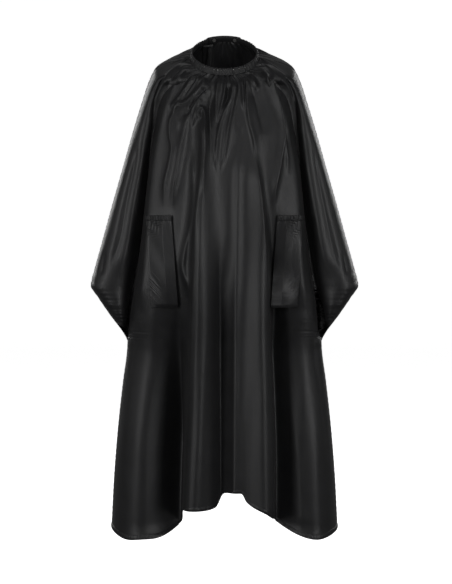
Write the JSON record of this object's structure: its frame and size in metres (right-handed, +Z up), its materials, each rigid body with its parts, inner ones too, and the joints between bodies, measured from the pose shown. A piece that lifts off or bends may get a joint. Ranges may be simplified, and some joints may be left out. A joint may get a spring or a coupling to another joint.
{
  "type": "barber cape",
  "caption": "Full-length black satin salon cape with an elasticated collar that snaps at the back, wide sleeves with elastic cuffs, and patch pockets.",
  "frame": {"origin": "centre of the collar's opening, on the collar's axis at the middle of its height", "axes": "+Z up, -Y the wearer's front, +X the wearer's left; the collar's axis leans 34 degrees forward"},
  "size_m": [0.7218, 0.3988, 1.346],
  "materials": {
    "satin": "black polyester satin, soft sheen",
    "gathered_casing": "black satin, gathered and topstitched",
    "folded_edge": "black satin, folded and stitched",
    "seam_tape": "black overlocked seam allowance",
    "elastic": "woven white elastic",
    "interlining": "grey woven interlining",
    "snap_metal": "nickel-plated snap"
  },
  "bodies": {
    "root": {"front_panel": "satin", "back_panel_left": "satin", "back_panel_right": "satin", "pocket_left": "satin", "pocket_right": "satin", "collar_casing": "gathered_casing", "cuff_casing_left": "gathered_casing", "cuff_casing_right": "gathered_casing", "pocket_casing_left": "gathered_casing", "pocket_casing_right": "gathered_casing", "hem_front": "folded_edge", "hem_back_left": "folded_edge", "hem_back_right": "folded_edge", "back_facing_left": "folded_edge", "back_facing_right": "folded_edge", "sleeve_seam_left": "seam_tape", "sleeve_seam_right": "seam_tape", "side_seam_left": "seam_tape", "side_seam_right": "seam_tape", "collar_elastic": "elastic", "cuff_elastic_left": "elastic", "cuff_elastic_right": "elastic", "pocket_elastic_left": "elastic", "pocket_elastic_right": "elastic", "collar_interlining": "interlining", "snap_stud_1": "snap_metal", "snap_stud_2": "snap_metal", "snap_rivet_1": "snap_metal", "snap_rivet_2": "snap_metal"},
    "tab": {"closure_tab": "satin", "tab_interlining": "interlining", "snap_cap_1": "snap_metal", "snap_cap_2": "snap_metal", "snap_socket_1": "snap_metal", "snap_socket_2": "snap_metal"}
  },
  "joints": [
    {"name": "closure_tab_swing", "type": "hinge", "parent": "root", "child": "tab", "pos_m": [-0.05201, 0.06392, 0.04311], "axis": [0, -0.5592, 0.829], "range_deg": [0, 110]}
  ]
}
